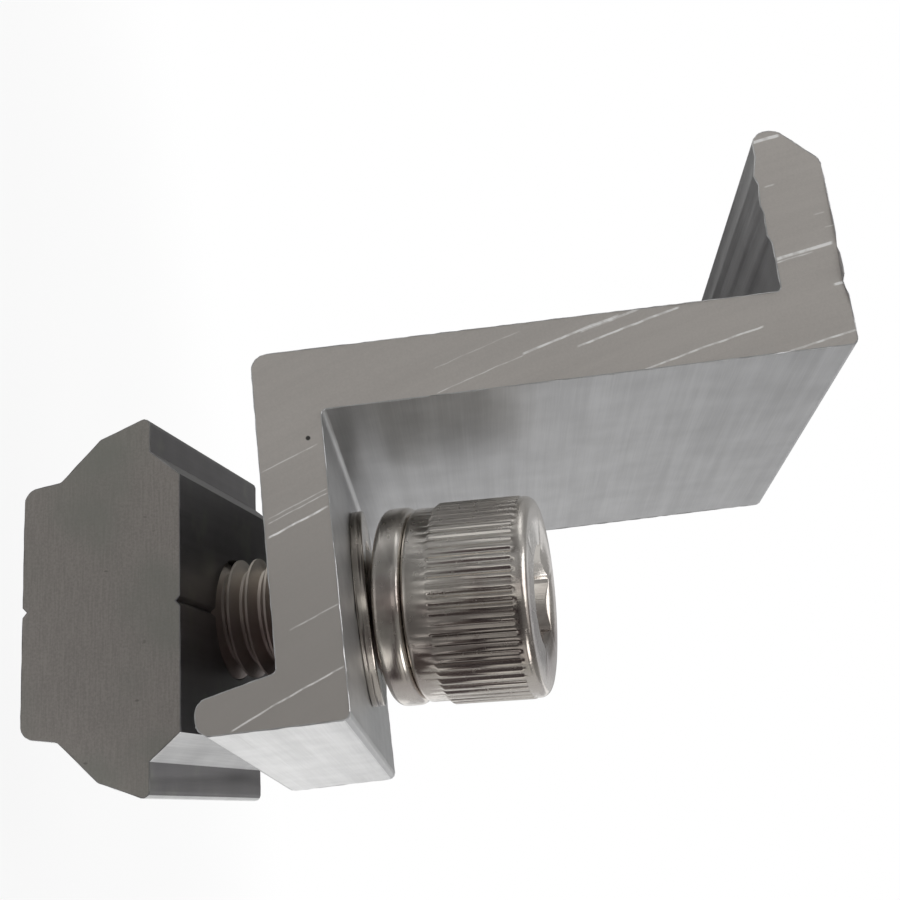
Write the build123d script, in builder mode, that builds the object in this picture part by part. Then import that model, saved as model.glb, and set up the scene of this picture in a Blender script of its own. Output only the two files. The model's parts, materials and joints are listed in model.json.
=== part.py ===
from build123d import *
import os
from math import cos, pi, radians, sin, tan

# Solar end clamp: a Z-shaped aluminium extrusion that holds the last module of a row on its rail,
# with an M8 cap screw, two washers and an extruded slot nut.
# Millimetres. The origin is where the hole's axis meets the rail's top plane, on which the hook
# stands. +Z points up along the hole, +X from the module to the hook, Y along the extrusion.
# The screw is slack and leans in its hole, so its pieces are built on a leaning plane.

# End clamp: the Z section
clamp_length = 35.0
grip_height = 35.8
web_thick = 3.9
plate_thick = 3.9
hole_to_end = 9.7
head_to_web = 1.5
hole_clearance = 0.26
lip_thick = 3.9
lip_reach = 10.4
lip_chamfer = 2.3
hook_drop = 4.6
hook_root_thick = 3.1
hook_tip_thick = 2.0
outer_radius = 1.0
inner_radius = 0.3
edge_radius = 0.5
lip_tip_radius = 0.9

# Teeth under the lip: each has its steep side to the web and is a little lower than the one before
tooth_count = 3
tooth_pitch = 1.95
tooth_height = 0.32
tooth_fall = 0.06
tooth_valley = 0.14
tooth_back = 1.2
tooth_front = 0.6
tooth_land = 1.7

# Lean of the slack screw: how far, and towards which side, in degrees
lean_angle = 11.6
lean_azimuth = -66.3

# Cap screw, M8, with a straight knurl between a plain collar and a rounded rim
thread_diameter = 8.0
screw_length = 25.0
point_chamfer = 0.9
head_diameter = 13.2
head_height = 8.25
collar_step = 0.25
collar_height = 1.6
collar_bevel = 0.3
knurl_bevel = 0.3
rim_height = 1.05
rim_radius = 0.85
knurl_count = 60
knurl_depth = 0.3
knurl_groove_share = 0.72
socket_across_flats = 6.0
socket_depth = 4.2
socket_chamfer = 0.35

# Washers: a thin flat one on the plate and a split lock washer under the head
washer_diameter = 13.0
flat_washer_thick = 0.8
flat_washer_edge = 0.12
lock_washer_thick = 1.85
lock_washer_edge = 0.4
lock_washer_bevel = 0.3
lock_split = 0.9
lock_split_azimuth = 100.0
lock_split_slant = 25.0
washer_clearance = 0.1
washer_play = 1.48

# Slot nut: the extruded section, half of it, measured from the screw's axis
nut_length = 20.0
nut_height = 10.6
nut_top_half = 8.0
nut_bevel_run = 1.65
nut_bevel_drop = 2.0
nut_seat_width = 2.35
nut_side_run = 1.25
nut_side_drop = 3.4
nut_flank_run = 2.55
nut_flank_drop = 2.7
nut_foot_draft = 0.35
nut_corner_radius = 0.45
nut_base_radius = 1.0
nut_groove_half = 0.3
nut_groove_depth = 0.3
nut_turn = 3.0
nut_clearance = 0.4
thread_clearance = 0.05

# Places that follow from the sizes
web_inner_x = -(max(head_diameter, washer_diameter) / 2 + head_to_web)
web_outer_x = web_inner_x - web_thick
plate_end_x = hole_to_end
lip_tip_x = web_outer_x - lip_reach
plate_top_z = hook_drop + plate_thick
lip_top_z = grip_height + lip_thick
pivot_z = hook_drop + plate_thick / 2
hook_radius = 0.45 * hook_tip_thick
collar_radius = head_diameter / 2 - collar_step
knurl_root = head_diameter / 2 - knurl_depth
knurl_width = knurl_groove_share * pi * head_diameter / knurl_count

# The leaning planes: along the screw from the middle of its hole, and the same one turned for the nut
lean_axis = Axis((0, 0, 0), (-sin(radians(lean_azimuth)), cos(radians(lean_azimuth)), 0))
screw_x = Vector(1, 0, 0).rotate(lean_axis, lean_angle)
screw_z = Vector(0, 0, 1).rotate(lean_axis, lean_angle)
screw_plane = Plane(origin=(0, 0, pivot_z), x_dir=screw_x, z_dir=screw_z)
nut_x = screw_x.rotate(Axis((0, 0, 0), tuple(screw_z)), nut_turn)
nut_plane = Plane(origin=(0, 0, pivot_z), x_dir=nut_x, z_dir=screw_z)

# Heights along the screw, from the middle of the hole
lock_washer_s = plate_thick / 2 + flat_washer_thick + washer_play
head_s = lock_washer_s + lock_washer_thick
knurl_s = head_s + collar_height
knurl_length = head_height - collar_height - rim_height
head_top_s = head_s + head_height

# The shank leans in the hole and in the flat washer, which lies pushed half of the way after it
lean = radians(lean_angle)
hole_diameter = (thread_diameter + plate_thick * sin(lean)) / cos(lean) + 2 * hole_clearance
flat_washer_shift = (plate_thick + flat_washer_thick) / 2 * tan(lean) / 2
shank_shift = (plate_thick / 2 + flat_washer_thick) * tan(lean)
flat_washer_bore = thread_diameter / cos(lean) + 2 * (shank_shift - flat_washer_shift + washer_clearance)

# The nut hangs just low enough for its raised end to pass under the hook with its bevel
hook_distance = plate_end_x - hook_tip_thick / 2 + screw_z.X * pivot_z
end_rise = nut_length / 2 * nut_plane.y_dir.Z + hook_distance * nut_plane.x_dir.Z
bevel_share = (hook_distance - nut_top_half) / nut_bevel_run
bevel_relief = nut_bevel_drop * min(max(bevel_share, 0), 1)
nut_top_s = -(pivot_z + end_rise - bevel_relief + nut_clearance) / cos(lean)


def section_plane(plane):
    """The upright plane through a leaning plane's axis, with its X across and its Y along the axis."""
    return Plane(origin=plane.origin, x_dir=plane.x_dir, z_dir=-plane.y_dir)


# End clamp: one extrusion, sawn to length, with a hole through its plate
lip_teeth = [(lip_tip_x + tooth_land, grip_height)]
for i in range(tooth_count):
    peak_x = lip_tip_x + tooth_land + tooth_back + i * tooth_pitch
    valley = 0 if i == tooth_count - 1 else tooth_valley
    lip_teeth += [
        (peak_x, grip_height - tooth_height + i * tooth_fall),
        (peak_x + tooth_front, grip_height - valley),
    ]

clamp_corners = [
    (web_outer_x, hook_drop, outer_radius),
    (plate_end_x - hook_root_thick, hook_drop, inner_radius),
    (plate_end_x - hook_tip_thick, 0, hook_radius),
    (plate_end_x, 0, hook_radius),
    (plate_end_x, plate_top_z, edge_radius),
    (web_inner_x, plate_top_z, inner_radius),
    (web_inner_x, lip_top_z, edge_radius),
    (lip_tip_x + lip_chamfer, lip_top_z, outer_radius),
    (lip_tip_x, lip_top_z - lip_chamfer, outer_radius),
    (lip_tip_x, grip_height, lip_tip_radius),
]
clamp_corners += [(x, z, 0) for x, z in lip_teeth]
clamp_corners += [(web_outer_x, grip_height, inner_radius)]

with BuildPart() as end_clamp:
    with BuildSketch(Plane.XZ):
        with BuildLine():
            FilletPolyline(
                [(x, z) for x, z, radius in clamp_corners],
                radius=[radius for x, z, radius in clamp_corners],
                close=True,
            )
        make_face()
    extrude(amount=clamp_length / 2, both=True)
    with BuildSketch(Plane.XY.offset(hook_drop)):
        Circle(hole_diameter / 2)
    extrude(amount=plate_thick, mode=Mode.SUBTRACT)
end_clamp.part.label = "end_clamp"

# Flat washer: lies on the plate, pushed towards the lean by half of what the shank moves there
flat_washer_place = Plane(
    origin=(
        flat_washer_shift * cos(radians(lean_azimuth)),
        flat_washer_shift * sin(radians(lean_azimuth)),
        plate_top_z,
    )
)
with BuildPart() as flat_washer:
    with BuildSketch(flat_washer_place):
        Circle(washer_diameter / 2)
        Circle(flat_washer_bore / 2, mode=Mode.SUBTRACT)
    extrude(amount=flat_washer_thick)
    rims = flat_washer.edges().filter_by(GeomType.CIRCLE).sort_by(SortBy.RADIUS)[-2:]
    chamfer(rims, flat_washer_edge)
flat_washer.part.label = "flat_washer"

# Lock washer: a heavy split ring, square to the screw, rounded below and bevelled under the head
split_x = nut_x.rotate(Axis((0, 0, 0), tuple(screw_z)), lock_split_azimuth)
split_plane = Plane(origin=screw_plane.origin, x_dir=split_x, z_dir=screw_z)
split_slope = tan(radians(lock_split_slant)) * lock_washer_thick / 2
with BuildPart() as lock_washer:
    with BuildSketch(screw_plane.offset(lock_washer_s)):
        Circle(washer_diameter / 2)
        Circle(thread_diameter / 2 + washer_clearance, mode=Mode.SUBTRACT)
    extrude(amount=lock_washer_thick)
    rims = lock_washer.edges().filter_by(GeomType.CIRCLE).sort_by(SortBy.RADIUS)[-2:]
    rims = rims.sort_by(Axis(screw_plane.origin, screw_plane.z_dir))
    fillet(rims[0], lock_washer_edge)
    chamfer(rims[1], lock_washer_bevel)
    with BuildSketch(Plane(origin=split_plane.origin, x_dir=split_plane.y_dir, z_dir=split_plane.x_dir)):
        with BuildLine():
            Polyline(
                (-lock_split / 2 - split_slope, lock_washer_s),
                (lock_split / 2 - split_slope, lock_washer_s),
                (lock_split / 2 + split_slope, lock_washer_s + lock_washer_thick),
                (-lock_split / 2 + split_slope, lock_washer_s + lock_washer_thick),
                close=True,
            )
        make_face()
    extrude(amount=washer_diameter, mode=Mode.SUBTRACT)
lock_washer.part.label = "lock_washer"

# Cap screw: shank, collar, head and rim are one turned shape, then the knurl and the hex socket
with BuildPart() as cap_screw:
    with BuildSketch(section_plane(screw_plane)):
        with BuildLine():
            FilletPolyline(
                (0, head_s - screw_length),
                (thread_diameter / 2 - point_chamfer, head_s - screw_length),
                (thread_diameter / 2, head_s - screw_length + point_chamfer),
                (thread_diameter / 2, head_s),
                (collar_radius - collar_bevel, head_s),
                (collar_radius, head_s + collar_bevel),
                (collar_radius, knurl_s),
                (head_diameter / 2, knurl_s + knurl_bevel),
                (head_diameter / 2, knurl_s + knurl_length),
                (knurl_root, knurl_s + knurl_length),
                (knurl_root, head_top_s),
                (0, head_top_s),
                radius=[0, 0, 0, 0, 0, 0, 0, 0, 0, 0, rim_radius, 0],
                close=True,
            )
        make_face()
    revolve(axis=Axis(screw_plane.origin, screw_plane.z_dir))
    with BuildSketch(screw_plane.offset(knurl_s)):
        with PolarLocations(knurl_root, knurl_count):
            with BuildLine():
                Polyline(
                    (0, 0),
                    (2 * knurl_depth, knurl_width),
                    (2 * knurl_depth, -knurl_width),
                    close=True,
                )
            make_face()
    extrude(amount=knurl_length, mode=Mode.SUBTRACT)
    with BuildSketch(screw_plane.offset(head_top_s)):
        RegularPolygon(socket_across_flats / 2, 6, major_radius=False)
    extrude(amount=-socket_depth, mode=Mode.SUBTRACT)
    with BuildSketch(section_plane(screw_plane)):
        with BuildLine():
            Polyline(
                (0, head_top_s),
                (socket_across_flats / 2 + socket_chamfer, head_top_s),
                (0, head_top_s - socket_across_flats / 2 - socket_chamfer),
                close=True,
            )
        make_face()
    revolve(axis=Axis(screw_plane.origin, screw_plane.z_dir), mode=Mode.SUBTRACT)
cap_screw.part.label = "cap_screw"

# Slot nut: the half section's corners are mirrored, so that both seats match
seat_inner = nut_top_half + nut_bevel_run
seat_outer = seat_inner + nut_seat_width
flank_half = seat_outer - nut_side_run
flank_drop = nut_bevel_drop + nut_side_drop
foot_half = flank_half - nut_flank_run
foot_drop = flank_drop + nut_flank_drop
nut_half = [
    (nut_groove_half, 0, 0),
    (nut_top_half, 0, 0),
    (seat_inner, -nut_bevel_drop, 0),
    (seat_outer, -nut_bevel_drop, nut_corner_radius),
    (flank_half, -flank_drop, nut_corner_radius),
    (foot_half, -foot_drop, nut_corner_radius),
    (foot_half - nut_foot_draft, -nut_height, nut_base_radius),
    (nut_groove_half, -nut_height, 0),
]
nut_corners = nut_half + [(0, nut_groove_depth - nut_height, 0)]
nut_corners += [(-x, z, radius) for x, z, radius in reversed(nut_half)]
nut_corners += [(0, -nut_groove_depth, 0)]

nut_section = section_plane(nut_plane)
with BuildPart() as slot_nut:
    with BuildSketch(nut_section):
        with BuildLine():
            FilletPolyline(
                [(x, nut_top_s + z) for x, z, radius in nut_corners],
                radius=[radius for x, z, radius in nut_corners],
                close=True,
            )
        make_face()
    extrude(amount=nut_length / 2, both=True)
    with BuildSketch(nut_plane.offset(nut_top_s)):
        Circle(thread_diameter / 2 + thread_clearance)
    extrude(amount=-nut_height, mode=Mode.SUBTRACT)
slot_nut.part.label = "slot_nut"

os.makedirs("parts", exist_ok=True)
for piece in (end_clamp, flat_washer, lock_washer, cap_screw, slot_nut):
    export_step(piece.part, f"parts/{piece.part.label}.step")
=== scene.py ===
"""Solar end clamp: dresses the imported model's five pieces and sets them in a plain studio."""
import json
from math import atan2, cos, hypot, pi, radians, sin, tan, tau
from random import Random

import bmesh
import bpy
from bpy.props import FloatProperty, FloatVectorProperty, IntProperty, PointerProperty
from bpy.types import Operator, Panel, PropertyGroup
from mathutils import Matrix, Vector


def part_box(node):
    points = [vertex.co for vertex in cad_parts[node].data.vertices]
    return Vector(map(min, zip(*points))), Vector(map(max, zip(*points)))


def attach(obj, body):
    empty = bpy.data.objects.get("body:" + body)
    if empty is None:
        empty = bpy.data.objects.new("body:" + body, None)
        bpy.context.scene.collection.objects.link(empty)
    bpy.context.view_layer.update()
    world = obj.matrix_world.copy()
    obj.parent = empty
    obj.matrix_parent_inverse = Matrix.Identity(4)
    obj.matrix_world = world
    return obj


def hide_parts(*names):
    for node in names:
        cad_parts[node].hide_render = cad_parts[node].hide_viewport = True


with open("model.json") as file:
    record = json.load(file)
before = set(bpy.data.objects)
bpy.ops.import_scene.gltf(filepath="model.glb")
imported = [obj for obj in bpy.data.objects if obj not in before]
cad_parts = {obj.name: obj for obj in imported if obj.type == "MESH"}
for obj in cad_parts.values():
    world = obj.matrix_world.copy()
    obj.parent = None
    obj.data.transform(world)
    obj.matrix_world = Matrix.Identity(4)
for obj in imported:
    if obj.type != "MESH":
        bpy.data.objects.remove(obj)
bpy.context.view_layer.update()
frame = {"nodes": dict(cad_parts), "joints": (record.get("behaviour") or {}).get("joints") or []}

bl_info = {
    "name": "Solar end clamp",
    "version": (1, 0, 0),
    "blender": (4, 5, 0),
    "location": "3D View > Sidebar > End clamp",
    "description": "Builds a sawn aluminium end clamp with its leaning cap screw, washers and slot nut",
    "category": "Object",
}

MM = 0.001

# How close two places lie, in mm, that count as the same
NEAR = 0.004

# Sides of a turned ring, and columns for each groove of the knurl
SIDES = 240
KNURL_STEPS = 8

# Material slots of an extrusion; the third is a painted glare on faces that mirror the white room
DRAWN, SAWN, PAINTED_GLARE = range(3)

joints = {joint["name"]: joint for joint in frame["joints"]}
pivot = Vector(joints["screw_lean"]["pos_m"]) / MM
lean = radians(-joints["screw_lean"]["range_deg"][0])
screw_turn = Matrix.Rotation(lean, 4, Vector(joints["screw_lean"]["axis"]))
screw_place = Matrix.Translation(pivot) @ screw_turn


def srgb(red, green, blue):
    """A colour as the linear values that Blender's colour sockets take, from 0 to 255."""
    shares = [value / 255 for value in (red, green, blue)]
    return tuple(s / 12.92 if s <= 0.04045 else ((s + 0.055) / 1.055) ** 2.4 for s in shares)


def length(name, description, size):
    """A length that a user can change. Its default is given in mm."""
    return FloatProperty(
        name=name, description=description, default=size * MM, min=0, precision=5, unit="LENGTH"
    )


def colour(name, description, *levels):
    """A colour that a user can change. Its default is given from 0 to 255."""
    return FloatVectorProperty(
        name=name, description=description, default=srgb(*levels), min=0, max=1, subtype="COLOR"
    )


def share(name, description, value):
    """A share from 0 to 1 that a user can change, such as a roughness."""
    return FloatProperty(name=name, description=description, default=value, min=0, max=1, subtype="FACTOR")


def toned(tint, factor):
    """A colour made darker or paler by a factor."""
    return tuple(min(value * factor, 1) for value in tint)


def reach(node, axis):
    """How low and how high a CAD node reaches along an axis through the middle of the hole, in mm."""
    heights = [(vertex.co / MM - pivot).dot(axis) for vertex in frame["nodes"][node].data.vertices]
    return min(heights), max(heights)


# Sizes and colours that a user would change


class ClampSettings(PropertyGroup):
    """The extruded clamp and its sawn ends"""
    burr_spacing: length("Burr spacing", "Distance between the small steps of a sawn edge", 0.45)
    burr_height: length("Burr height", "How far the sawn edge wanders", 0.045)
    edge_break: length("Edge break", "Width of the broken edge round a sawn end", 0.09)
    sawn: colour("Sawn ends", "Colour of the sawn faces", 200, 195, 190)
    drawn: colour("Drawn sides", "Colour of the extruded sides", 192, 192, 192)
    scratch: colour("Saw scratches", "Colour of the bright scratches across the sawn faces", 250, 249, 247)
    sawn_roughness: share("Sawn roughness", "Roughness of the sawn faces", 0.5)
    drawn_roughness: share("Drawn roughness", "Roughness of the extruded sides", 0.36)
    # Painted glare: a paler colour that makes the plate's end and the nut's side below it look white, as if
    # lit
    bright: colour("Bright faces", "Colour of the plate's end and the nut's side below it", 242, 242, 241)


class NutSettings(PropertyGroup):
    """The extruded slot nut"""
    edge_break: length("Edge break", "Width of the broken edge round a sawn end", 0.08)
    sawn: colour("Sawn ends", "Colour of the nut's sawn faces", 155, 150, 145)
    drawn: colour("Drawn sides", "Colour of the nut's extruded sides", 130, 128, 129)
    smudge: colour("Smudges", "Colour of the greenish smudges", 140, 141, 134)
    roughness: share("Roughness", "Roughness of the nut", 0.42)


class ScrewSettings(PropertyGroup):
    """The knurled cap screw"""
    head_height: length("Head height", "Height of the cylinder head", 8.05)
    head_diameter: length("Head diameter", "Diameter over the knurl", 13.2)
    collar_height: length("Collar height", "Height of the plain collar under the knurl", 1.6)
    collar_step: length("Collar step", "How far the knurl stands out from the collar", 0.25)
    collar_round: length("Collar rounding", "Rounding of the collar's lower edge", 0.45)
    rim_height: length("Rim height", "Height of the plain rim above the knurl", 0.95)
    rim_step: length("Rim step", "How far the knurl stands out from the rim", 0.06)
    rim_round: length("Rim rounding", "Rounding of the rim's edge", 0.6)
    knurl_depth: length("Knurl depth", "Depth of the grooves in the knurl", 0.17)
    knurl_count: IntProperty(
        name="Knurl grooves", description="Number of grooves round the head", default=63
    )
    socket_flats: length("Socket across flats", "Width of the hex socket", 6.0)
    socket_depth: length("Socket depth", "Depth of the hex socket's walls", 4.2)
    socket_mouth: length("Socket chamfer", "Width of the chamfer round the socket's mouth", 0.35)
    thread_diameter: length("Thread diameter", "Diameter over the thread", 7.96)
    thread_pitch: length("Thread pitch", "Distance from crest to crest", 1.25)
    point_chamfer: length("Point chamfer", "Height of the chamfer at the screw's point", 0.9)
    steel: colour("Steel", "Colour of the stainless steel", 198, 191, 182)
    # Painted sheen: a paler steel on two sides of the head, the lock washer and the thread, where light
    # would fall
    clean: colour("Clean steel", "Colour of the side that the forming oil left clean", 252, 247, 240)
    shade: colour("Steel shade", "Colour of the film left by the forming oil", 150, 134, 130)
    # The thread is darker than the head: partly its own duller rolled finish, partly painted shade for its
    # place between the plate and the nut
    thread: colour("Thread", "Colour of the rolled thread", 160, 150, 142)
    roughness: share("Roughness", "Roughness of the head", 0.2)
    thread_roughness: share("Thread roughness", "Roughness of the rolled thread", 0.42)


class WasherSettings(PropertyGroup):
    """The flat washer and the split lock washer"""
    diameter: length("Diameter", "Diameter of both washers", 13.0)
    flat_bore: length("Flat washer bore", "Diameter of the flat washer's bore", 9.01)
    flat_edge: length("Flat washer edge", "Rounding of the flat washer's punched edge", 0.13)
    lock_bore: length("Lock washer bore", "Diameter of the lock washer's bore", 8.2)
    lock_round: length("Lock washer rounding", "Rounding of the lock washer's outer edges", 0.5)
    lock_split: length("Split", "Width of the lock washer's split", 0.9)
    split_azimuth: FloatProperty(
        name="Split azimuth", description="Where the split is, round the screw", default=radians(103),
        subtype="ANGLE",
    )
    split_slant: FloatProperty(
        name="Split slant", description="Slant of the split", default=radians(25), subtype="ANGLE"
    )


class StudioSettings(PropertyGroup):
    """The floor, the lamps and the camera"""
    floor_drop: length("Floor drop", "How far the floor lies below the rail's plane", 20.5)
    floor: colour("Floor", "Colour of the floor", 250, 250, 250)
    world_light: share("Room light", "Share of the plain light that comes from all round", 0.4)
    lamp_light: share("Lamp light", "Share of the plain light that comes from the lamps", 0.6)
    lens: FloatProperty(name="Lens", description="Focal length in mm", default=60.397, min=1)


# Node building


class Signal:
    """An output of a node. An expression on it adds the Math nodes that work it out."""

    def __init__(self, nodes, socket):
        self.nodes = nodes
        self.socket = socket

    def also(self, out):
        """Another output of the same node."""
        return Signal(self.nodes, self.socket.node.outputs[out])

    def math(self, operation, *values):
        """This value with others in one Math node."""
        return self.nodes.math(operation, self, *values)

    def __add__(self, other):
        return self.math("ADD", other)

    def __sub__(self, other):
        return self.math("SUBTRACT", other)

    def __rsub__(self, other):
        return self.nodes.math("SUBTRACT", other, self)

    def __mul__(self, other):
        return self.math("MULTIPLY", other)

    def __abs__(self):
        return self.math("ABSOLUTE")

    __radd__ = __add__
    __rmul__ = __mul__


class Nodes:
    """The nodes of one material or of the world."""

    def __init__(self, owner):
        owner.use_nodes = True
        self.tree = owner.node_tree
        self.tree.nodes.clear()

    def node(self, kind, settings=None, sockets=None, out=0):
        """One node: its settings first, then the value or link of each socket that is named."""
        made = self.tree.nodes.new(kind)
        for name, value in (settings or {}).items():
            setattr(made, name, value)
        for name, value in (sockets or {}).items():
            if isinstance(value, Signal):
                self.tree.links.new(value.socket, made.inputs[name])
            else:
                made.inputs[name].default_value = value
        return Signal(self, made.outputs[out] if made.outputs else None)

    def math(self, operation, *values):
        """A Math node on numbers or signals."""
        return self.node("ShaderNodeMath", {"operation": operation}, dict(enumerate(values)))

    def within(self, value, low, high, start=0.0, end=1.0):
        """A value that goes smoothly from start to end while the given one goes from low to high."""
        return self.node(
            "ShaderNodeMapRange",
            {"interpolation_type": "SMOOTHSTEP"},
            {0: value, 1: low, 2: high, 3: start, 4: end},
        )

    def mixed(self, factor, first, second):
        """From the first colour to the second."""
        ends = {6: first, 7: second}
        pair = {name: end if isinstance(end, Signal) else (*end, 1) for name, end in ends.items()}
        return self.node("ShaderNodeMix", {"data_type": "RGBA"}, {0: factor, **pair}, out=2)

    def place(self, matrix=Matrix.Identity(4)):
        """Object coordinates in mm, in the frame that the matrix gives."""
        coordinates = self.node("ShaderNodeTexCoord", out="Object")
        turn = matrix.to_euler()
        return self.node(
            "ShaderNodeMapping",
            {"vector_type": "TEXTURE"},
            {
                "Vector": coordinates,
                "Location": matrix.translation * MM,
                "Rotation": turn,
                "Scale": (MM, MM, MM),
            },
        )

    def axes(self, vector):
        """The three parts of a vector."""
        parts = self.node("ShaderNodeSeparateXYZ", sockets={0: vector})
        return parts, parts.also(1), parts.also(2)

    def joined(self, x, y, z):
        """A vector from its three parts."""
        return self.node("ShaderNodeCombineXYZ", sockets={0: x, 1: y, 2: z})

    def noise(self, vector, scale, detail=2.0, roughness=0.5):
        """Noise from 0 to 1 with about one blob for each 1 / scale mm."""
        return self.node(
            "ShaderNodeTexNoise",
            sockets={"Vector": vector, "Scale": scale, "Detail": detail, "Roughness": roughness},
        )

    def stretched(self, vector, *factors):
        """A vector with each part multiplied, so that a pattern is drawn out along the smallest one."""
        return self.node("ShaderNodeVectorMath", {"operation": "MULTIPLY"}, {0: vector, 1: factors})

    def bump(self, height, depth):
        """A normal from a height between 0 and 1 that stands for depth in mm."""
        return self.node(
            "ShaderNodeBump", sockets={"Height": height, "Distance": depth * MM, "Strength": 1.0}
        )

    def distance(self, across, up):
        """The distance that two parts at a right angle to each other make."""
        return self.math("SQRT", across * across + up * up)

    def surface(self, **sockets):
        """The shader that the material ends in."""
        named = {name.replace("_", " "): value for name, value in sockets.items()}
        shader = self.node("ShaderNodeBsdfPrincipled", sockets=named)
        self.node("ShaderNodeOutputMaterial", sockets={"Surface": shader})


def material(name):
    """A new material and its empty node tree."""
    made = bpy.data.materials.new(name)
    return made, Nodes(made)


# Finishes

# The centre of the saw's arcs, and a black speck, both as X and Z in mm
SAW_CENTRE = (165.3, 73.5)
SPECK = (-6.52, 7.57)
SPECK_EDGE = (0.1, 0.17)

# How much further out the arcs of the far end lie, in mm
FAR_END_SHIFT = 1.4

# Painted shade: where the cut face turns darker towards its low part, as X in mm, and how much of the darker
# tone it takes
LOW_SHADE_PART = (-9, 6)
LOW_SHADE_PART_SHARE = 0.75

# How soft the ends of a scratch are, in mm
SCRATCH_FADE = 0.25

# Bright scratches that the saw left on the near end: radius about the saw's centre, then the lowest
# and the highest point and the width in mm, and how bright it is
SAW_SCRATCHES = (
    (183.47, 4.64, 8.17, 0.05, 0.4),
    (180.84, 4.8, 8.45, 0.05, 0.4),
    (180.6, 4.8, 8.45, 0.05, 0.5),
    (179.88, 4.75, 8.4, 0.08, 0.9),
    (174.64, 5.5, 8.5, 0.06, 0.35),
    (171.44, 1.84, 8.45, 0.07, 0.55),
    (184.55, 15.1, 20.5, 0.05, 0.25),
    (183.1, 15.1, 20.5, 0.05, 0.45),
    (183.2, 20.3, 26.3, 0.1, 0.7),
    (183.1, 23.8, 27.6, 0.1, 0.5),
    (182.35, 23.5, 29.86, 0.09, 0.75),
    (179.53, 26.55, 34.5, 0.08, 0.65),
    (177.57, 35.5, 39.75, 0.09, 0.7),
    (190.73, 35.74, 37.6, 0.14, 0.95),
    (187.75, 35.95, 36.73, 0.07, 0.5),
    (183.17, 35.8, 39.45, 0.14, 0.95),
    (182.96, 35.77, 38.2, 0.06, 0.6),
    (180.65, 38.85, 39.75, 0.12, 0.9),
    (185.15, 38.5, 39.35, 0.06, 0.4),
    (184.2, 39.0, 39.8, 0.05, 0.35),
)

# Y of the near end, and the nicks in its edge: the place, how far each reaches and how deep it is, in mm
NEAR_END = -17.5
NICKS = tuple(
    ((x, NEAR_END, z), wide, deep)
    for x, z, wide, deep in (
        (-12.01, 39.62, 0.5, 0.22),
        (-14.5, 39.75, 0.45, 0.14),
        (-8.1, 14.99, 0.3, 0.1),
        (-8.1, 18.11, 0.25, 0.1),
        (-8.1, 19.22, 0.25, 0.09),
        (-8.1, 22.24, 0.35, 0.12),
        (-8.1, 30.39, 0.3, 0.1),
        (-8.1, 32.3, 0.3, 0.1),
    )
)


def sawn_clamp_finish(settings):
    """Sawn aluminium: fine arcs from the saw, a few bright scratches along them, and painted shade towards
    the low part.
    """
    made, nodes = material("clamp_sawn")
    place = nodes.place()
    x, y, z = nodes.axes(place)
    far = nodes.math("GREATER_THAN", y, 0)
    radius = nodes.distance(x - SAW_CENTRE[0], z - SAW_CENTRE[1]) + far * FAR_END_SHIFT
    arcs = nodes.noise(nodes.joined(radius * 9, z * 0.25, y), 1.0, 3.0, 0.6)
    broad = nodes.noise(nodes.joined(radius * 1.3, z * 0.06, y), 1.0, 1.0)
    grain = nodes.noise(place, 7.0, 2.0, 0.7)
    wander = (nodes.noise(place, 0.8, 1.0) - 0.5) * 0.12
    scratches = 0
    for middle, low, high, wide, strength in SAW_SCRATCHES:
        half = (high - low) / 2
        line = nodes.within(abs(radius - middle + wander), wide * 0.35, wide, strength, 0.0)
        span = nodes.within(abs(z - (low + high) / 2), half - SCRATCH_FADE, half, 1.0, 0.0)
        scratches = line * span + scratches
    broken = nodes.within(nodes.noise(place, 1.6, 2.0), 0.35, 0.6, 0.6, 1.3)
    scratches = nodes.math("MINIMUM", scratches * broken, 1.0)
    tone = nodes.within(arcs * 0.25 + broad * 0.35 + grain * 0.4, 0.25, 0.75)
    grey = nodes.mixed(tone, toned(settings.sawn, 0.93), toned(settings.sawn, 1.06))
    # Painted shade: the cut face darker towards its low part
    painted_low_shade = nodes.within(x, *LOW_SHADE_PART, 0.0, LOW_SHADE_PART_SHARE)
    plain = nodes.mixed(painted_low_shade, grey, toned(settings.sawn, 0.72))
    from_speck = nodes.distance(x - SPECK[0], z - SPECK[1])
    speck = nodes.within(from_speck + far, *SPECK_EDGE, 0.9, 0.0)
    base = nodes.mixed(scratches, nodes.mixed(speck, plain, (0.01, 0.01, 0.01)), settings.scratch)
    nodes.surface(
        Base_Color=base,
        Metallic=0.85 - scratches * 0.6,
        Roughness=settings.sawn_roughness + (arcs - 0.5) * 0.08 - scratches * 0.2,
        Normal=nodes.bump(arcs * 0.15 + grain * 0.35 - scratches * 0.5, 0.006),
    )
    return made


def drawn_finish(name, tint, roughness, turn=Matrix.Identity(4), smudge=None):
    """Extruded aluminium: fine draw lines along Y, with a slow change of tone."""
    made, nodes = material(name)
    place = nodes.place(turn)
    lines = nodes.noise(nodes.stretched(place, 9, 0.12, 9), 1.0, 3.0, 0.65)
    bands = nodes.noise(nodes.stretched(place, 1.1, 0.03, 1.1), 1.0, 2.0)
    cloud = nodes.noise(place, 0.35, 2.0)
    tone = nodes.within(lines * 0.35 + bands * 0.35 + cloud * 0.3, 0.3, 0.7)
    base = nodes.mixed(tone, toned(tint, 0.82), toned(tint, 1.12))
    if smudge:
        patches = nodes.within(nodes.noise(place, 0.28, 3.0, 0.6), 0.5, 0.7, 0.0, 0.7)
        base = nodes.mixed(patches, base, smudge)
    nodes.surface(
        Base_Color=base,
        Metallic=0.9,
        Roughness=roughness + (lines - 0.5) * 0.2,
        Normal=nodes.bump(lines * 0.6 + bands * 0.4, 0.01),
    )
    return made


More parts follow.
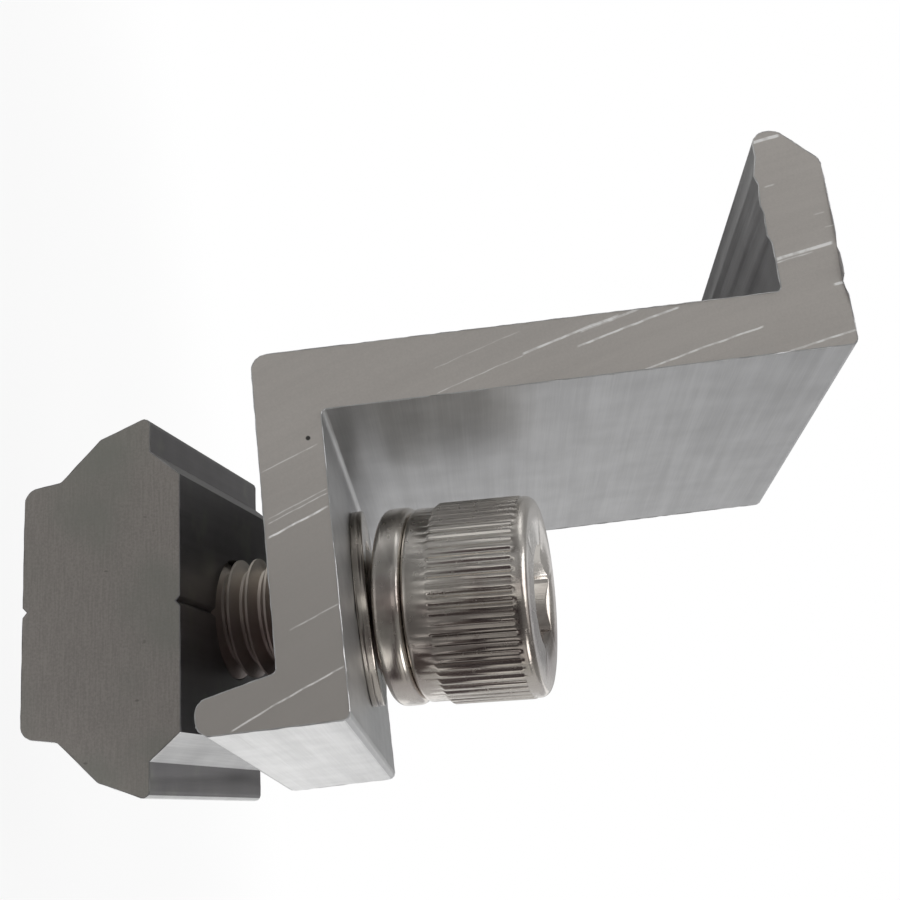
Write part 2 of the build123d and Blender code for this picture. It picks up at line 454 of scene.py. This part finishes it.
def nut_sawn_finish(settings, turn):
    """The nut's sawn end: straight saw lines across it, greenish smudges and small dark pits."""
    made, nodes = material("nut_sawn")
    place = nodes.place(turn)
    lines = nodes.noise(nodes.stretched(place, 0.5, 1.0, 8.0), 1.0, 3.0, 0.6)
    grain = nodes.noise(place, 6.0, 2.0, 0.7)
    patches = nodes.within(nodes.noise(place, 0.16, 2.0), 0.4, 0.75, 0.0, 0.8)
    pits = nodes.within(nodes.noise(nodes.stretched(place, 1.3, 1, 0.6), 1.5, 1.0), 0.2, 0.26, 0.5, 0.0)
    tone = nodes.within(lines * 0.5 + grain * 0.5, 0.35, 0.65)
    grey = nodes.mixed(tone, toned(settings.sawn, 0.88), toned(settings.sawn, 1.1))
    base = nodes.mixed(patches, grey, settings.smudge)
    base = nodes.mixed(pits, base, toned(settings.sawn, 0.4))
    nodes.surface(
        Base_Color=base,
        Metallic=0.85,
        Roughness=settings.roughness + (lines - 0.5) * 0.15,
        Normal=nodes.bump(lines * 0.4 + grain * 0.3 - pits * 0.6, 0.015),
    )
    return made


# Places across the screw, in mm: its two sides with painted sheen, and the middle and the soft edge of the
# head's band of painted shade
PAINTED_SHEEN_LEFT = (-2.6, 3.0)
PAINTED_SHEEN_RIGHT = (5.4, 7.2)
PAINTED_SHEEN_RIGHT_SHARE = 0.6
PAINTED_SHADE_MIDDLE = 3.7
PAINTED_SHADE_EDGE = (1.2, 2.3)


def steel_finish(
    name,
    plain,
    oil,
    clean,
    roughness,
    streak=(6, 6, 0.4),
    metal=0.95,
    turn=screw_place,
    shadow_lines=0.0,
    painted_shade=0.0,
):
    """Stainless steel: marks, a film of forming oil, painted sheen on two sides, and painted shadow lines
    and a band of painted shade where wanted.
    """
    made, nodes = material(name)
    place = nodes.place(turn)
    marks = nodes.noise(nodes.stretched(place, *streak), 1.0, 3.0, 0.6)
    film = nodes.noise(place, 0.3, 3.0, 0.6)
    speck = nodes.within(nodes.noise(place, 2.6, 1.0), 0.66, 0.74)
    x = nodes.axes(place)[0]
    base = nodes.mixed(nodes.within(film, 0.42, 0.68, 0.0, 0.75), plain, oil)
    # Painted sheen: paler steel on the screw's -X side, and partly on its +X side
    base = nodes.mixed(nodes.within(x + film * 2, *PAINTED_SHEEN_LEFT, 1.0, 0.0), base, clean)
    base = nodes.mixed(nodes.within(x + film, *PAINTED_SHEEN_RIGHT, 0.0, PAINTED_SHEEN_RIGHT_SHARE), base, clean)
    # Painted shade: a darker band along the screw, about 3.7 mm to its +X side
    from_painted_shade = abs(x + film - PAINTED_SHADE_MIDDLE)
    base = nodes.mixed(nodes.within(from_painted_shade, *PAINTED_SHADE_EDGE, painted_shade, 0.0), base, toned(oil, 0.45))
    # Painted shadow and reflection: dark lines round the washer's edge
    shadow_line_noise = nodes.noise(nodes.stretched(place, 0.12, 0.12, 3.2), 1.0, 2.0, 0.7)
    shadow_line = nodes.within(shadow_line_noise, 0.52, 0.6, 0.0, shadow_lines)
    base = nodes.mixed(shadow_line, base, toned(oil, 0.25))
    nodes.surface(
        Base_Color=base,
        Metallic=metal,
        Roughness=roughness + (marks - 0.5) * 0.2 + speck * 0.1,
        Normal=nodes.bump(marks * 0.7 + speck * 0.15 - shadow_line * 1.5, 0.008),
    )
    return made


# Modelling helpers, all in mm


def merged_copy(node):
    """A CAD node's shape with its triangles joined and its flat faces whole again."""
    shape = bmesh.new()
    shape.from_mesh(frame["nodes"][node].data)
    bmesh.ops.scale(shape, vec=(1 / MM, 1 / MM, 1 / MM), verts=shape.verts)
    bmesh.ops.remove_doubles(shape, verts=shape.verts, dist=0.0008)
    bmesh.ops.dissolve_limit(shape, angle_limit=radians(0.4), verts=shape.verts, edges=shape.edges)
    return shape


def turned(points, closed=False, sides=SIDES):
    """A profile of radius and height points, spun once about Z."""
    shape = bmesh.new()
    corners = [shape.verts.new((radius, 0, height)) for radius, height in points]
    edges = [shape.edges.new(pair) for pair in zip(corners, corners[1:])]
    if closed:
        edges.append(shape.edges.new((corners[-1], corners[0])))
    bmesh.ops.spin(
        shape, geom=corners + edges, cent=(0, 0, 0), axis=(0, 0, 1), angle=tau, steps=sides, use_merge=True
    )
    bmesh.ops.remove_doubles(shape, verts=shape.verts, dist=NEAR / 4)
    bmesh.ops.recalc_face_normals(shape, faces=shape.faces)
    return shape


def at_ring(vertex, radius, height):
    """Whether a vertex is on the circle of that radius and height round Z."""
    return abs(hypot(vertex.co.x, vertex.co.y) - radius) < NEAR and abs(vertex.co.z - height) < NEAR


def round_rings(shape, rings, size, segments):
    """Rounds the circular edges that are at the given radii and heights."""
    edges = [
        edge for edge in shape.edges
        if any(all(at_ring(vertex, *ring) for vertex in edge.verts) for ring in rings)
    ]
    bmesh.ops.bevel(
        shape, geom=edges, affect="EDGES", offset=size, offset_type="OFFSET", segments=segments,
        profile=0.5, material=-1,
    )


def polar(vertex, radius, angle):
    """Moves a vertex to a radius and an angle about Z, at its own height."""
    vertex.co.x = radius * cos(angle)
    vertex.co.y = radius * sin(angle)


def finished(name, shape, materials, body, node, crease=32):
    """Makes a piece of a shape in mm. It rides on its body and stands for its CAD node."""
    bmesh.ops.scale(shape, vec=(MM, MM, MM), verts=shape.verts)
    mesh = bpy.data.meshes.new(name)
    shape.to_mesh(mesh)
    shape.free()
    for finish in materials:
        mesh.materials.append(finish)
    mesh.shade_smooth()
    mesh.set_sharp_from_angle(angle=radians(crease))
    piece = bpy.data.objects.new(name, mesh)
    bpy.context.scene.collection.objects.link(piece)
    weighted = piece.modifiers.new("Flat faces stay flat", "WEIGHTED_NORMAL")
    weighted.keep_sharp = True
    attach(piece, body)
    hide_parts(node)


def sawn_outline(shape, direction):
    """The edges round the two end faces of an extrusion along a direction."""
    ends = {face for face in shape.faces if abs(face.normal.dot(direction)) > 0.999}
    return {edge for face in ends for edge in face.edges if len(ends.intersection(edge.link_faces)) == 1}


def nick_depth(place, nicks):
    """How deep the edge is nicked at a place."""
    depth = 0
    for middle, wide, deep in nicks:
        away = (place - Vector(middle)).length / wide
        depth += deep * max(0, 1 - away * away)
    return depth


def break_sawn_edges(shape, direction, spacing, width, wander, seed, nicks=()):
    """Breaks the edges round both sawn ends, with small burrs and nicks, and gives the ends their slot."""
    for edge in sawn_outline(shape, direction):
        cuts = int(edge.calc_length() / spacing)
        if cuts:
            bmesh.ops.subdivide_edges(shape, edges=[edge], cuts=cuts)
    made = bmesh.ops.bevel(
        shape, geom=list(sawn_outline(shape, direction)), affect="EDGES", offset=width, offset_type="OFFSET",
        segments=2, profile=0.5, material=-1,
    )
    rng = Random(seed)
    burred = {vertex for face in made["faces"] for vertex in face.verts}
    for vertex in sorted(burred, key=lambda corner: corner.co.to_tuple(4)):
        vertex.co -= vertex.normal * (rng.uniform(0, wander) + nick_depth(vertex.co, nicks))
    for face in shape.faces:
        face.material_index = SAWN if abs(face.normal.dot(direction)) > 0.995 else DRAWN


def paint_glare_side(shape, direction, centre, least, facing):
    """Gives the painted glare, a paler finish, to faces that look along a direction and lie further along it
    than least.
    """
    for face in shape.faces:
        along = (face.calc_center_median() - centre).dot(direction)
        if face.normal.dot(direction) > facing and along > least:
            face.material_index = PAINTED_GLARE


# Pieces


class ENDCLAMP_OT_clamp(Operator):
    """Dress the extruded clamp: broken, burred edges round its sawn ends and draw lines along its sides"""
    bl_idname = "end_clamp.clamp"
    bl_label = "Clamp"

    def execute(self, context):
        settings = context.scene.end_clamp
        shape = merged_copy("end_clamp")
        break_sawn_edges(
            shape,
            Vector((0, 1, 0)),
            spacing=settings.burr_spacing / MM,
            width=settings.edge_break / MM,
            wander=settings.burr_height / MM,
            seed=3,
            nicks=NICKS,
        )
        # Painted glare on the plate's end, which looks along +X
        paint_glare_side(shape, Vector((1, 0, 0)), pivot, least=9, facing=0.97)
        finishes = (
            drawn_finish("clamp_drawn", settings.drawn, settings.drawn_roughness),
            sawn_clamp_finish(settings),
            drawn_finish("clamp_painted_glare", settings.bright, settings.drawn_roughness),
        )
        finished("clamp_extrusion", shape, finishes, "clamp", "end_clamp")
        return {"FINISHED"}


class ENDCLAMP_OT_washers(Operator):
    """Turn the flat washer and the split lock washer"""
    bl_idname = "end_clamp.washers"
    bl_label = "Washers"

    def execute(self, context):
        settings = context.scene.end_clamp_washers
        steel = context.scene.end_clamp_screw
        self.flat_washer(settings, steel)
        self.lock_washer(settings, steel)
        return {"FINISHED"}

    def flat_washer(self, settings, steel):
        """A thin ring with rounded punched edges, flat on the plate."""
        low, high = (corner / MM for corner in map(Vector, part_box("flat_washer")))
        inner, outer = settings.flat_bore / MM / 2, settings.diameter / MM / 2
        thick = high.z - low.z
        shape = turned([(inner, 0), (outer, 0), (outer, thick), (inner, thick)], closed=True)
        round_rings(shape, [(outer, 0), (outer, thick)], settings.flat_edge / MM, 3)
        round_rings(shape, [(inner, 0), (inner, thick)], settings.flat_edge / MM / 2, 2)
        middle = (low + high) / 2
        bmesh.ops.translate(shape, vec=(middle.x, middle.y, low.z), verts=shape.verts)
        # The flat washer gets painted shadow and reflection lines round its edge
        finish = steel_finish(
            "flat_washer_steel", steel.steel, steel.shade, steel.steel, steel.roughness,
            streak=(0.5, 0.5, 9), turn=Matrix.Identity(4), shadow_lines=0.8,
        )
        finished("flat_washer_ring", shape, [finish], "plain_ring", "flat_washer")

    def lock_washer(self, settings, steel):
        """A heavy ring with a slanted split, rounded on its outer edges."""
        low, high = reach("lock_washer", screw_place.col[2].xyz)
        inner, outer = settings.lock_bore / MM / 2, settings.diameter / MM / 2
        shape = bmesh.new()
        corners = [(inner, low), (outer, low), (outer, high), (inner, high)]
        section = shape.faces.new([shape.verts.new((radius, 0, height)) for radius, height in corners])
        gap = settings.lock_split / MM / outer
        bmesh.ops.spin(
            shape, geom=[section], cent=(0, 0, 0), axis=(0, 0, 1), angle=tau - gap, steps=SIDES
        )
        bmesh.ops.recalc_face_normals(shape, faces=shape.faces)
        round_rings(shape, [(outer, low), (outer, high)], settings.lock_round / MM, 5)
        round_rings(shape, [(inner, low), (inner, high)], settings.lock_round / MM / 3, 2)
        middle = (low + high) / 2
        slope = tan(settings.split_slant)
        for vertex in shape.verts:
            radius, angle = hypot(vertex.co.x, vertex.co.y), atan2(vertex.co.y, vertex.co.x) % tau
            from_split = min(angle, tau - gap - angle) if angle < tau - gap / 2 else 0
            fade = max(0, 1 - from_split / radians(45)) ** 2
            polar(vertex, radius, angle + fade * slope * (vertex.co.z - middle) / outer)
        turn = Matrix.Rotation(settings.split_azimuth + gap / 2, 4, "Z")
        bmesh.ops.transform(shape, matrix=screw_place @ turn, verts=shape.verts)
        # The lock washer gets the painted sheen on two sides
        finish = steel_finish(
            "lock_washer_steel", steel.steel, steel.shade, steel.clean, steel.roughness, streak=(0.6, 0.6, 6)
        )
        finished("lock_washer_ring", shape, [finish], "spring_ring", "lock_washer")


# Heights of the chamfers at the knurl's two ends, in mm
KNURL_FOOT = 0.3
KNURL_SHOULDER = 0.1

# The socket, in mm: how far its round wall is outside the flats and how large the step at its mouth is until
# both are drawn in, the depth of the cone in its bottom, and the least width of its chamfer
SOCKET_WALL = 1.0
SOCKET_STEP = 0.5
SOCKET_POINT = 0.8
SOCKET_GAP = 0.03

# A groove of the knurl: half its width and how far it is out of place, as shares of its own column, and
# its depth from the least to the most, as shares of the depth that is set
GROOVE_HALF = 0.36
GROOVE_SHIFT = 0.06
GROOVE_DEPTHS = (0.75, 1.2)

# The thread: its depth as a share of the pitch, its steps round, and how far it goes on in the head, in mm
THREAD_DEPTH = 0.6134
THREAD_STEPS = 64
THREAD_IN_HEAD = 0.4


class ENDCLAMP_OT_screw(Operator):
    """Turn, knurl and thread the cap screw, and sink its hex socket"""
    bl_idname = "end_clamp.screw"
    bl_label = "Cap screw"

    def execute(self, context):
        settings = context.scene.end_clamp_screw
        axis = screw_place.col[2].xyz
        point, seat = reach("cap_screw", axis)[0], reach("lock_washer", axis)[1]
        shape = self.head(settings, seat)
        thread = self.thread(settings, point, seat)
        mesh = bpy.data.meshes.new("thread")
        for face in thread.faces:
            face.material_index = 1  # thread_steel
        thread.to_mesh(mesh)
        thread.free()
        shape.from_mesh(mesh)
        bpy.data.meshes.remove(mesh)
        bmesh.ops.transform(shape, matrix=screw_place, verts=shape.verts)
        finishes = (
            # The head gets painted sheen on two sides and a band of painted shade on its +X side
            steel_finish(
                "screw_steel", settings.steel, settings.shade, settings.clean, settings.roughness, painted_shade=0.45
            ),
            # The thread takes the darker film colour as its steel, partly painted shade, and the head's
            # steel as its painted sheen
            steel_finish(
                "thread_steel", settings.shade, settings.thread, settings.steel, settings.thread_roughness,
                streak=(3, 3, 3), metal=0.85,
            ),
        )
        finished("cap_screw_turned", shape, finishes, "screw", "cap_screw", crease=55)
        return {"FINISHED"}

    def head(self, settings, seat):
        """The head: plain collar, knurl, rounded rim and hex socket, from one spun profile."""
        top = seat + settings.head_height / MM
        outer = settings.head_diameter / MM / 2
        collar = outer - settings.collar_step / MM
        root = outer - settings.knurl_depth / MM
        knurl_low = seat + settings.collar_height / MM
        knurl_high = top - settings.rim_height / MM
        flats = settings.socket_flats / MM / 2
        mouth = flats + settings.socket_mouth / MM
        rim = outer - settings.rim_step / MM
        wall = flats + SOCKET_WALL
        floor = top - settings.socket_depth / MM
        shape = turned([
            (0, seat),
            (collar, seat),
            (collar, knurl_low),
            (outer, knurl_low + KNURL_FOOT),
            (outer, knurl_high),
            (rim, knurl_high + KNURL_SHOULDER),
            (rim, top),
            (wall + SOCKET_STEP, top),
            (wall, top - SOCKET_STEP),
            (wall, floor),
            (0, floor - SOCKET_POINT),
        ], sides=settings.knurl_count * KNURL_STEPS)
        self.cut_knurl(shape, outer, root, settings.knurl_count)
        self.cut_socket(shape, top, wall, floor, flats, mouth)
        round_rings(shape, [(collar, seat)], settings.collar_round / MM, 4)
        round_rings(shape, [(rim, top)], settings.rim_round / MM, 9)
        return shape

    def cut_knurl(self, shape, outer, root, count):
        """Draws the knurl's columns in to grooves that differ a little in depth and place."""
        rng = Random(11)
        depths = [(outer - root) * rng.uniform(*GROOVE_DEPTHS) for groove in range(count)]
        shifts = [rng.uniform(-GROOVE_SHIFT, GROOVE_SHIFT) for groove in range(count)]
        for vertex in shape.verts:
            if abs(hypot(vertex.co.x, vertex.co.y) - outer) > NEAR:
                continue
            angle = atan2(vertex.co.y, vertex.co.x) % tau
            groove, part = divmod(round(angle / tau * count * KNURL_STEPS) / KNURL_STEPS, 1)
            groove = int(groove) % count
            cut = max(0, 1 - abs(part - 0.5) / GROOVE_HALF)
            if cut:
                polar(vertex, outer - depths[groove] * cut, angle + shifts[groove] * cut * tau / count)

    def cut_socket(self, shape, top, wall, floor, flats, mouth):
        """Draws the round socket columns in to a hexagon, with a conical chamfer round its mouth."""
        for vertex in shape.verts:
            angle = atan2(vertex.co.y, vertex.co.x) % tau
            hexagon = flats / cos(angle % (tau / 6) - tau / 12)
            edge = max(mouth, hexagon + SOCKET_GAP)
            if at_ring(vertex, wall + SOCKET_STEP, top):
                polar(vertex, edge, angle)
            elif at_ring(vertex, wall, top - SOCKET_STEP):
                polar(vertex, hexagon, angle)
                vertex.co.z = top - (edge - hexagon)
            elif at_ring(vertex, wall, floor):
                polar(vertex, hexagon, angle)

    def thread(self, settings, point, seat):
        """The threaded shank: one pitch of the thread's profile, spun up the shank as a helix."""
        pitch = settings.thread_pitch / MM
        crest = settings.thread_diameter / MM / 2
        depth = THREAD_DEPTH * pitch
        flank = depth * tan(radians(30))
        land = pitch / 8
        turns = int((seat - point) / pitch) + 3
        start = point - pitch
        profile = [
            (crest - depth, 0),
            (crest - depth, pitch - 2 * flank - land),
            (crest, pitch - flank - land),
            (crest, pitch - flank),
            (crest - depth, pitch),
        ]
        shape = bmesh.new()
        corners = [shape.verts.new((radius, 0, start + height)) for radius, height in profile]
        edges = [shape.edges.new(pair) for pair in zip(corners, corners[1:])]
        bmesh.ops.spin(
            shape, geom=corners + edges, cent=(0, 0, 0), axis=(0, 0, 1), dvec=(0, 0, pitch / THREAD_STEPS),
            angle=tau * turns, steps=THREAD_STEPS * turns,
        )
        bmesh.ops.remove_doubles(shape, verts=shape.verts, dist=NEAR / 4)
        for height, normal in ((point, (0, 0, -1)), (seat + THREAD_IN_HEAD, (0, 0, 1))):
            everything = shape.verts[:] + shape.edges[:] + shape.faces[:]
            bmesh.ops.bisect_plane(
                shape, geom=everything, plane_co=(0, 0, height), plane_no=normal, clear_outer=True
            )
        chamfer = settings.point_chamfer / MM
        for vertex in shape.verts:
            radius = hypot(vertex.co.x, vertex.co.y)
            limit = crest - chamfer + (vertex.co.z - point)
            if radius > limit:
                vertex.co.x *= limit / radius
                vertex.co.y *= limit / radius
        bmesh.ops.holes_fill(shape, edges=shape.edges, sides=0)
        bmesh.ops.recalc_face_normals(shape, faces=shape.faces)
        return shape


# How far the nut is turned on the screw, in degrees, and its burrs' spacing and height, in mm
NUT_TURN = 3
NUT_BURR_SPACING = 0.6
NUT_BURR_HEIGHT = 0.03


class ENDCLAMP_OT_nut(Operator):
    """Dress the extruded slot nut"""
    bl_idname = "end_clamp.nut"
    bl_label = "Slot nut"

    def execute(self, context):
        settings = context.scene.end_clamp_nut
        nut_place = screw_place @ Matrix.Rotation(radians(NUT_TURN), 4, "Z")
        shape = merged_copy("slot_nut")
        break_sawn_edges(
            shape,
            nut_place.col[1].xyz,
            spacing=NUT_BURR_SPACING,
            width=settings.edge_break / MM,
            wander=NUT_BURR_HEIGHT,
            seed=5,
        )
        # Painted glare on the nut's side that looks along its own X
        paint_glare_side(shape, nut_place.col[0].xyz, nut_place.translation, least=6, facing=0.6)
        finishes = (
            drawn_finish("nut_drawn", settings.drawn, settings.roughness, nut_place, settings.smudge),
            nut_sawn_finish(settings, nut_place),
            drawn_finish("nut_painted_glare", context.scene.end_clamp.bright, settings.roughness, nut_place),
        )
        finished("slot_nut_extrusion", shape, finishes, "nut", "slot_nut")
        return {"FINISHED"}


# Studio

# Lamps: the place and the width in mm, and the share of the lamp light
LAMPS = (
    ("lamp_above", (-60, -120, 420), 260, 0.4),
    ("lamp_left", (-230, -120, 180), 200, 0.2),
    ("lamp_right", (250, -60, 165), 110, 0.3),
)
LAMP_TARGET = (0, 0, 14)

# Panels that metal mirrors, in mm: the height of the mats just above the floor, the radius of the ring
# round the object, and the heights of the ring's upper edge and of the wall over it
MAT, RING, TOP, HIGH = -20.2, 320, 260, 900
PANEL_STEPS = 24

# The floor's radius in m, the share of white near the clamp, and where that goes over to full white, in mm
FLOOR_RADIUS = 2.5
FLOOR_WHITE = 0.87
FLOOR_FADE = (50, 170)


def white_light_path(nodes, emission, ordinary):
    """The first shader for camera, glossy and transmission rays, and the second for all other ones."""
    path = nodes.node("ShaderNodeLightPath", out="Is Camera Ray")
    seen = nodes.math("MINIMUM", path + path.also("Is Glossy Ray") + path.also("Is Transmission Ray"), 1.0)
    return nodes.node("ShaderNodeMixShader", sockets={0: seen, 1: ordinary, 2: emission})


def lamp(name, place, size, level):
    """A soft square lamp that points at the clamp. Level 1 alone renders a colour as it is written."""
    light = bpy.data.lights.new(name, "AREA")
    light.shape = "SQUARE"
    light.size = size * MM
    away = Vector(place) - Vector(LAMP_TARGET)
    light.energy = level * (pi * away.length * MM) ** 2
    shown = bpy.data.objects.new(name, light)
    turn = away.to_track_quat("Z", "Y").to_matrix().to_4x4()
    shown.matrix_world = Matrix.Translation(Vector(place) * MM) @ turn
    bpy.context.scene.collection.objects.link(shown)


def panel(name, start, end, profile, tone):
    """A panel from one angle to another. It only mirrors in metal and takes no light away."""
    shape = bmesh.new()
    corners = [shape.verts.new((radius * MM, 0, height * MM)) for radius, height in profile]
    edges = [shape.edges.new(pair) for pair in zip(corners, corners[1:])]
    span = radians((end - start) % 360 or 360)
    bmesh.ops.spin(
        shape, geom=corners + edges, cent=(0, 0, 0), axis=(0, 0, 1), angle=span, steps=PANEL_STEPS
    )
    turn = Matrix.Rotation(radians(start), 3, "Z")
    bmesh.ops.rotate(shape, cent=(0, 0, 0), matrix=turn, verts=shape.verts)
    mesh = bpy.data.meshes.new(name)
    shape.to_mesh(mesh)
    shape.free()
    made, nodes = material(name)
    glow = nodes.node("ShaderNodeEmission", sockets={"Color": (*tone, 1), "Strength": 1.0})
    nodes.node("ShaderNodeOutputMaterial", sockets={"Surface": glow})
    mesh.materials.append(made)
    shown = bpy.data.objects.new(name, mesh)
    bpy.context.scene.collection.objects.link(shown)
    shown.visible_camera = False
    shown.visible_diffuse = False
    shown.visible_shadow = False


# Each panel's start and end in degrees round Z, the radius and height of its corners in mm, and its tone
PANELS = (
    ("panel_left_near", 135, 225, ((45, MAT), (190, MAT)), (0.8, 0.8, 0.78)),
    ("panel_left_far", 135, 222, ((190, MAT), (RING, MAT), (RING, TOP)), (0.62, 0.62, 0.61)),
    ("panel_camera_left_near", 225, 263, ((12, MAT), (80, MAT)), (0.41, 0.41, 0.41)),
    ("panel_knurl_light", 225, 280, ((80, MAT), (140, MAT)), (0.6, 0.6, 0.59)),
    ("panel_camera_left_far", 225, 267, ((140, MAT), (190, MAT)), (0.22, 0.22, 0.22)),
    ("panel_camera_left", 222, 267, ((190, MAT), (RING, MAT), (RING, 60)), (0.28, 0.28, 0.285)),
    ("panel_camera_left_high", 222, 267, ((RING, 60), (RING, TOP)), (0.235, 0.235, 0.235)),
    ("panel_under_camera", 263, 300, ((12, MAT), (45, MAT)), (0.39, 0.39, 0.395)),
    ("panel_front_near", 263, 275, ((45, MAT), (80, MAT)), (0.31, 0.31, 0.31)),
    ("panel_front", 267, 282, ((140, MAT), (RING, MAT), (RING, 220)), (0.85, 0.85, 0.83)),
    ("panel_front_high", 267, 282, ((RING, 220), (RING, TOP)), (0.24, 0.24, 0.24)),
    ("panel_camera_near", 275, 333, ((45, MAT), (72, MAT)), (0.16, 0.14, 0.135)),
    ("panel_camera_dark", 280, 333, ((72, MAT), (150, MAT)), (0.034, 0.022, 0.026)),
    ("panel_camera_far", 282, 322, ((150, MAT), (RING, MAT), (RING, 80)), (0.1, 0.095, 0.095)),
    ("panel_camera_high", 282, 322, ((RING, 80), (RING, TOP)), (0.2, 0.2, 0.2)),
    ("panel_right_near", 333, 14, ((45, MAT), (72, MAT)), (0.1, 0.08, 0.078)),
    ("panel_right_dark", 333, 14, ((72, MAT), (150, MAT)), (0.034, 0.022, 0.026)),
    ("panel_right_bright", 335, 356, ((150, MAT), (RING, MAT), (RING, 60)), (0.9, 0.89, 0.87)),
    ("panel_right_high", 322, 14, ((RING, 60), (RING, TOP)), (0.24, 0.24, 0.24)),
    ("panel_right_front", 322, 335, ((150, MAT), (RING, MAT), (RING, 60)), (0.2, 0.19, 0.19)),
    ("panel_right", 356, 14, ((150, MAT), (RING, MAT), (RING, 60)), (0.5, 0.5, 0.49)),
    ("panel_back_right", 14, 60, ((45, MAT), (RING, MAT), (RING, 60)), (0.5, 0.5, 0.5)),
    ("panel_back_right_high", 14, 60, ((RING, 60), (RING, TOP)), (0.5, 0.5, 0.5)),
    ("panel_back_low", 60, 79, ((RING, MAT), (RING, 12)), (0.5, 0.5, 0.51)),
    ("panel_back", 60, 79, ((RING, 12), (RING, 75)), (0.61, 0.61, 0.62)),
    ("panel_back_high", 60, 79, ((RING, 75), (RING, TOP)), (0.46, 0.46, 0.47)),
    ("panel_back_left", 88, 135, ((16, MAT), (RING, MAT), (RING, 12)), (0.045, 0.042, 0.045)),
    ("panel_back_left_middle", 88, 135, ((RING, 12), (RING, 100)), (0.23, 0.235, 0.23)),
    ("panel_back_left_high", 103, 135, ((RING, 100), (RING, TOP)), (0.29, 0.29, 0.29)),
    ("panel_back_middle_high", 88, 103, ((RING, 100), (RING, TOP)), (0.6, 0.6, 0.61)),
    ("panel_ceiling", 0, 360, ((RING, TOP), (RING, HIGH)), (0.25, 0.25, 0.25)),
)


class ENDCLAMP_OT_studio(Operator):
    """Lay the pale floor, set the lamps and panels, and place the camera"""
    bl_idname = "end_clamp.studio"
    bl_label = "Studio"

    def execute(self, context):
        settings = context.scene.end_clamp_studio
        self.room(context, settings)
        self.floor(settings)
        for name, place, size, part in LAMPS:
            lamp(name, place, size, settings.lamp_light * part)
        for row in PANELS:
            panel(*row)
        self.camera(context, settings)
        context.scene.view_settings.view_transform = "Standard"
        return {"FINISHED"}

    def room(self, context, settings):
        """A white room: full white where it is seen or mirrored, less as a light."""
        world = bpy.data.worlds.new("room")
        nodes = Nodes(world)
        seen = nodes.node("ShaderNodeBackground", sockets={0: (1, 1, 1, 1), 1: 1.0})
        fill = nodes.node("ShaderNodeBackground", sockets={0: (1, 1, 1, 1), 1: settings.world_light})
        nodes.node("ShaderNodeOutputWorld", sockets={0: white_light_path(nodes, seen, fill)})
        context.scene.world = world

    def floor(self, settings):
        """A pale floor under the lowest place that the nut reaches. It keeps the object's shadow."""
        shape = bmesh.new()
        bmesh.ops.create_circle(shape, cap_ends=True, segments=64, radius=FLOOR_RADIUS)
        bmesh.ops.translate(shape, vec=(0, 0, -settings.floor_drop), verts=shape.verts)
        mesh = bpy.data.meshes.new("floor")
        shape.to_mesh(mesh)
        shape.free()
        made, nodes = material("floor")
        away = nodes.distance(*nodes.axes(nodes.place())[:2])
        glow = nodes.node("ShaderNodeEmission", sockets={"Color": (1, 1, 1, 1), "Strength": 1.0})
        paint = nodes.node("ShaderNodeBsdfDiffuse", sockets={"Color": (*settings.floor, 1)})
        white = nodes.within(away, *FLOOR_FADE, FLOOR_WHITE, 1.0)
        shaded = nodes.node("ShaderNodeMixShader", sockets={0: white, 1: paint, 2: glow})
        shader = white_light_path(nodes, shaded, paint)
        nodes.node("ShaderNodeOutputMaterial", sockets={"Surface": shader})
        mesh.materials.append(made)
        shown = bpy.data.objects.new("floor", mesh)
        bpy.context.scene.collection.objects.link(shown)

    def camera(self, context, settings):
        """The photograph's viewpoint."""
        right = Vector((0.116868, 0.033931, 0.992568))
        down = Vector((0.946702, 0.298251, -0.121663))
        eye = Vector((20.9523, -99.2404, 15.298)) * MM
        back = right.cross(-down)
        data = bpy.data.cameras.new("camera")
        data.lens = settings.lens
        data.sensor_width = 36
        data.clip_start = 0.005
        shown = bpy.data.objects.new("camera", data)
        shown.matrix_world = Matrix.Translation(eye) @ Matrix((right, -down, back)).transposed().to_4x4()
        context.scene.collection.objects.link(shown)
        context.scene.camera = shown


# Panel and registration

STEPS = (ENDCLAMP_OT_clamp, ENDCLAMP_OT_washers, ENDCLAMP_OT_screw, ENDCLAMP_OT_nut, ENDCLAMP_OT_studio)

GROUPS = {
    "end_clamp": ClampSettings,
    "end_clamp_washers": WasherSettings,
    "end_clamp_screw": ScrewSettings,
    "end_clamp_nut": NutSettings,
    "end_clamp_studio": StudioSettings,
}


class ENDCLAMP_PT_sidebar(Panel):
    """Sizes, colours and building steps of the end clamp"""
    bl_label = "End clamp"
    bl_idname = "ENDCLAMP_PT_sidebar"
    bl_space_type = "VIEW_3D"
    bl_region_type = "UI"
    bl_category = "End clamp"

    def draw(self, context):
        for step, (name, group) in zip(STEPS, GROUPS.items()):
            box = self.layout.box()
            box.operator(step.bl_idname)
            for size in group.__annotations__:
                box.prop(getattr(context.scene, name), size)


def register():
    for group in GROUPS.values():
        bpy.utils.register_class(group)
    for name, group in GROUPS.items():
        setattr(bpy.types.Scene, name, PointerProperty(type=group))
    for step in STEPS:
        bpy.utils.register_class(step)
    bpy.utils.register_class(ENDCLAMP_PT_sidebar)


def unregister():
    bpy.utils.unregister_class(ENDCLAMP_PT_sidebar)
    for step in reversed(STEPS):
        bpy.utils.unregister_class(step)
    for name in GROUPS:
        delattr(bpy.types.Scene, name)
    for group in reversed(GROUPS.values()):
        bpy.utils.unregister_class(group)


def main():
    """Registers the classes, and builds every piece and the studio."""
    register()
    for step in STEPS:
        area, name = step.bl_idname.split(".")
        getattr(getattr(bpy.ops, area), name)()


if __name__ == "__main__":
    main()
